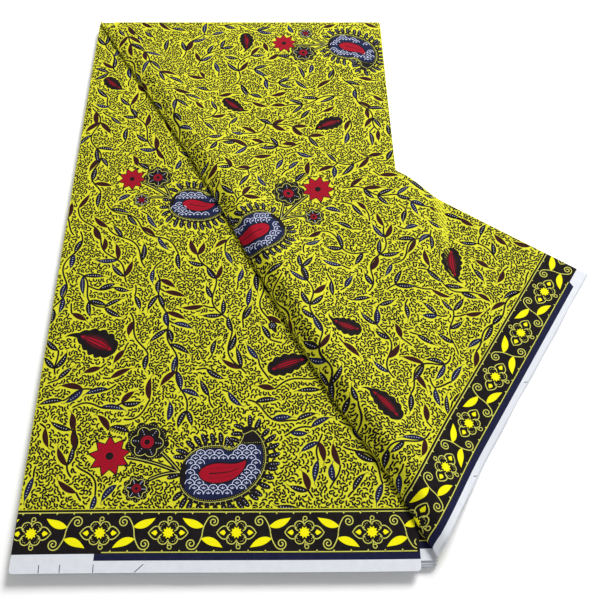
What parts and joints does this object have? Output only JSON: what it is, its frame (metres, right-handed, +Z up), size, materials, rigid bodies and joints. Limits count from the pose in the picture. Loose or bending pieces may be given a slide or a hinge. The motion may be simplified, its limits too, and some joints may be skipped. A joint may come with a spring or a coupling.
{
  "type": "folded printed cotton length",
  "caption": "Length of printed cotton dress cloth, pleated flat into a long stack, with a front corner turned back along a diagonal to hang over the side and show its border.",
  "frame": {"origin": "centre of the footprint on the surface that the cloth lies on", "axes": "+X towards the turned corner's tip, +Y from the front selvedges to the folded back edge, +Z up"},
  "size_m": [0.479, 0.5846, 0.0196],
  "materials": {
    "printed_cotton": "bright yellow printed plain-weave cotton, matt with a faint wax sheen",
    "dark_print": "near-black dye in plain-weave cotton",
    "navy_print": "navy dye in plain-weave cotton",
    "maroon_print": "brown-maroon dye in plain-weave cotton",
    "red_print": "crimson dye in plain-weave cotton",
    "pale_print": "pale undyed line work in plain-weave cotton",
    "white_selvedge": "undyed white cotton selvedge"
  },
  "bodies": {
    "root": {"hidden_layers": "printed_cotton", "under_panel": "printed_cotton", "left_panel": "printed_cotton", "top_panel": "printed_cotton", "crease_roll": "printed_cotton", "crease_swell": "printed_cotton", "turned_flap": "printed_cotton", "hanging_corner": "printed_cotton"}
  },
  "joints": []
}
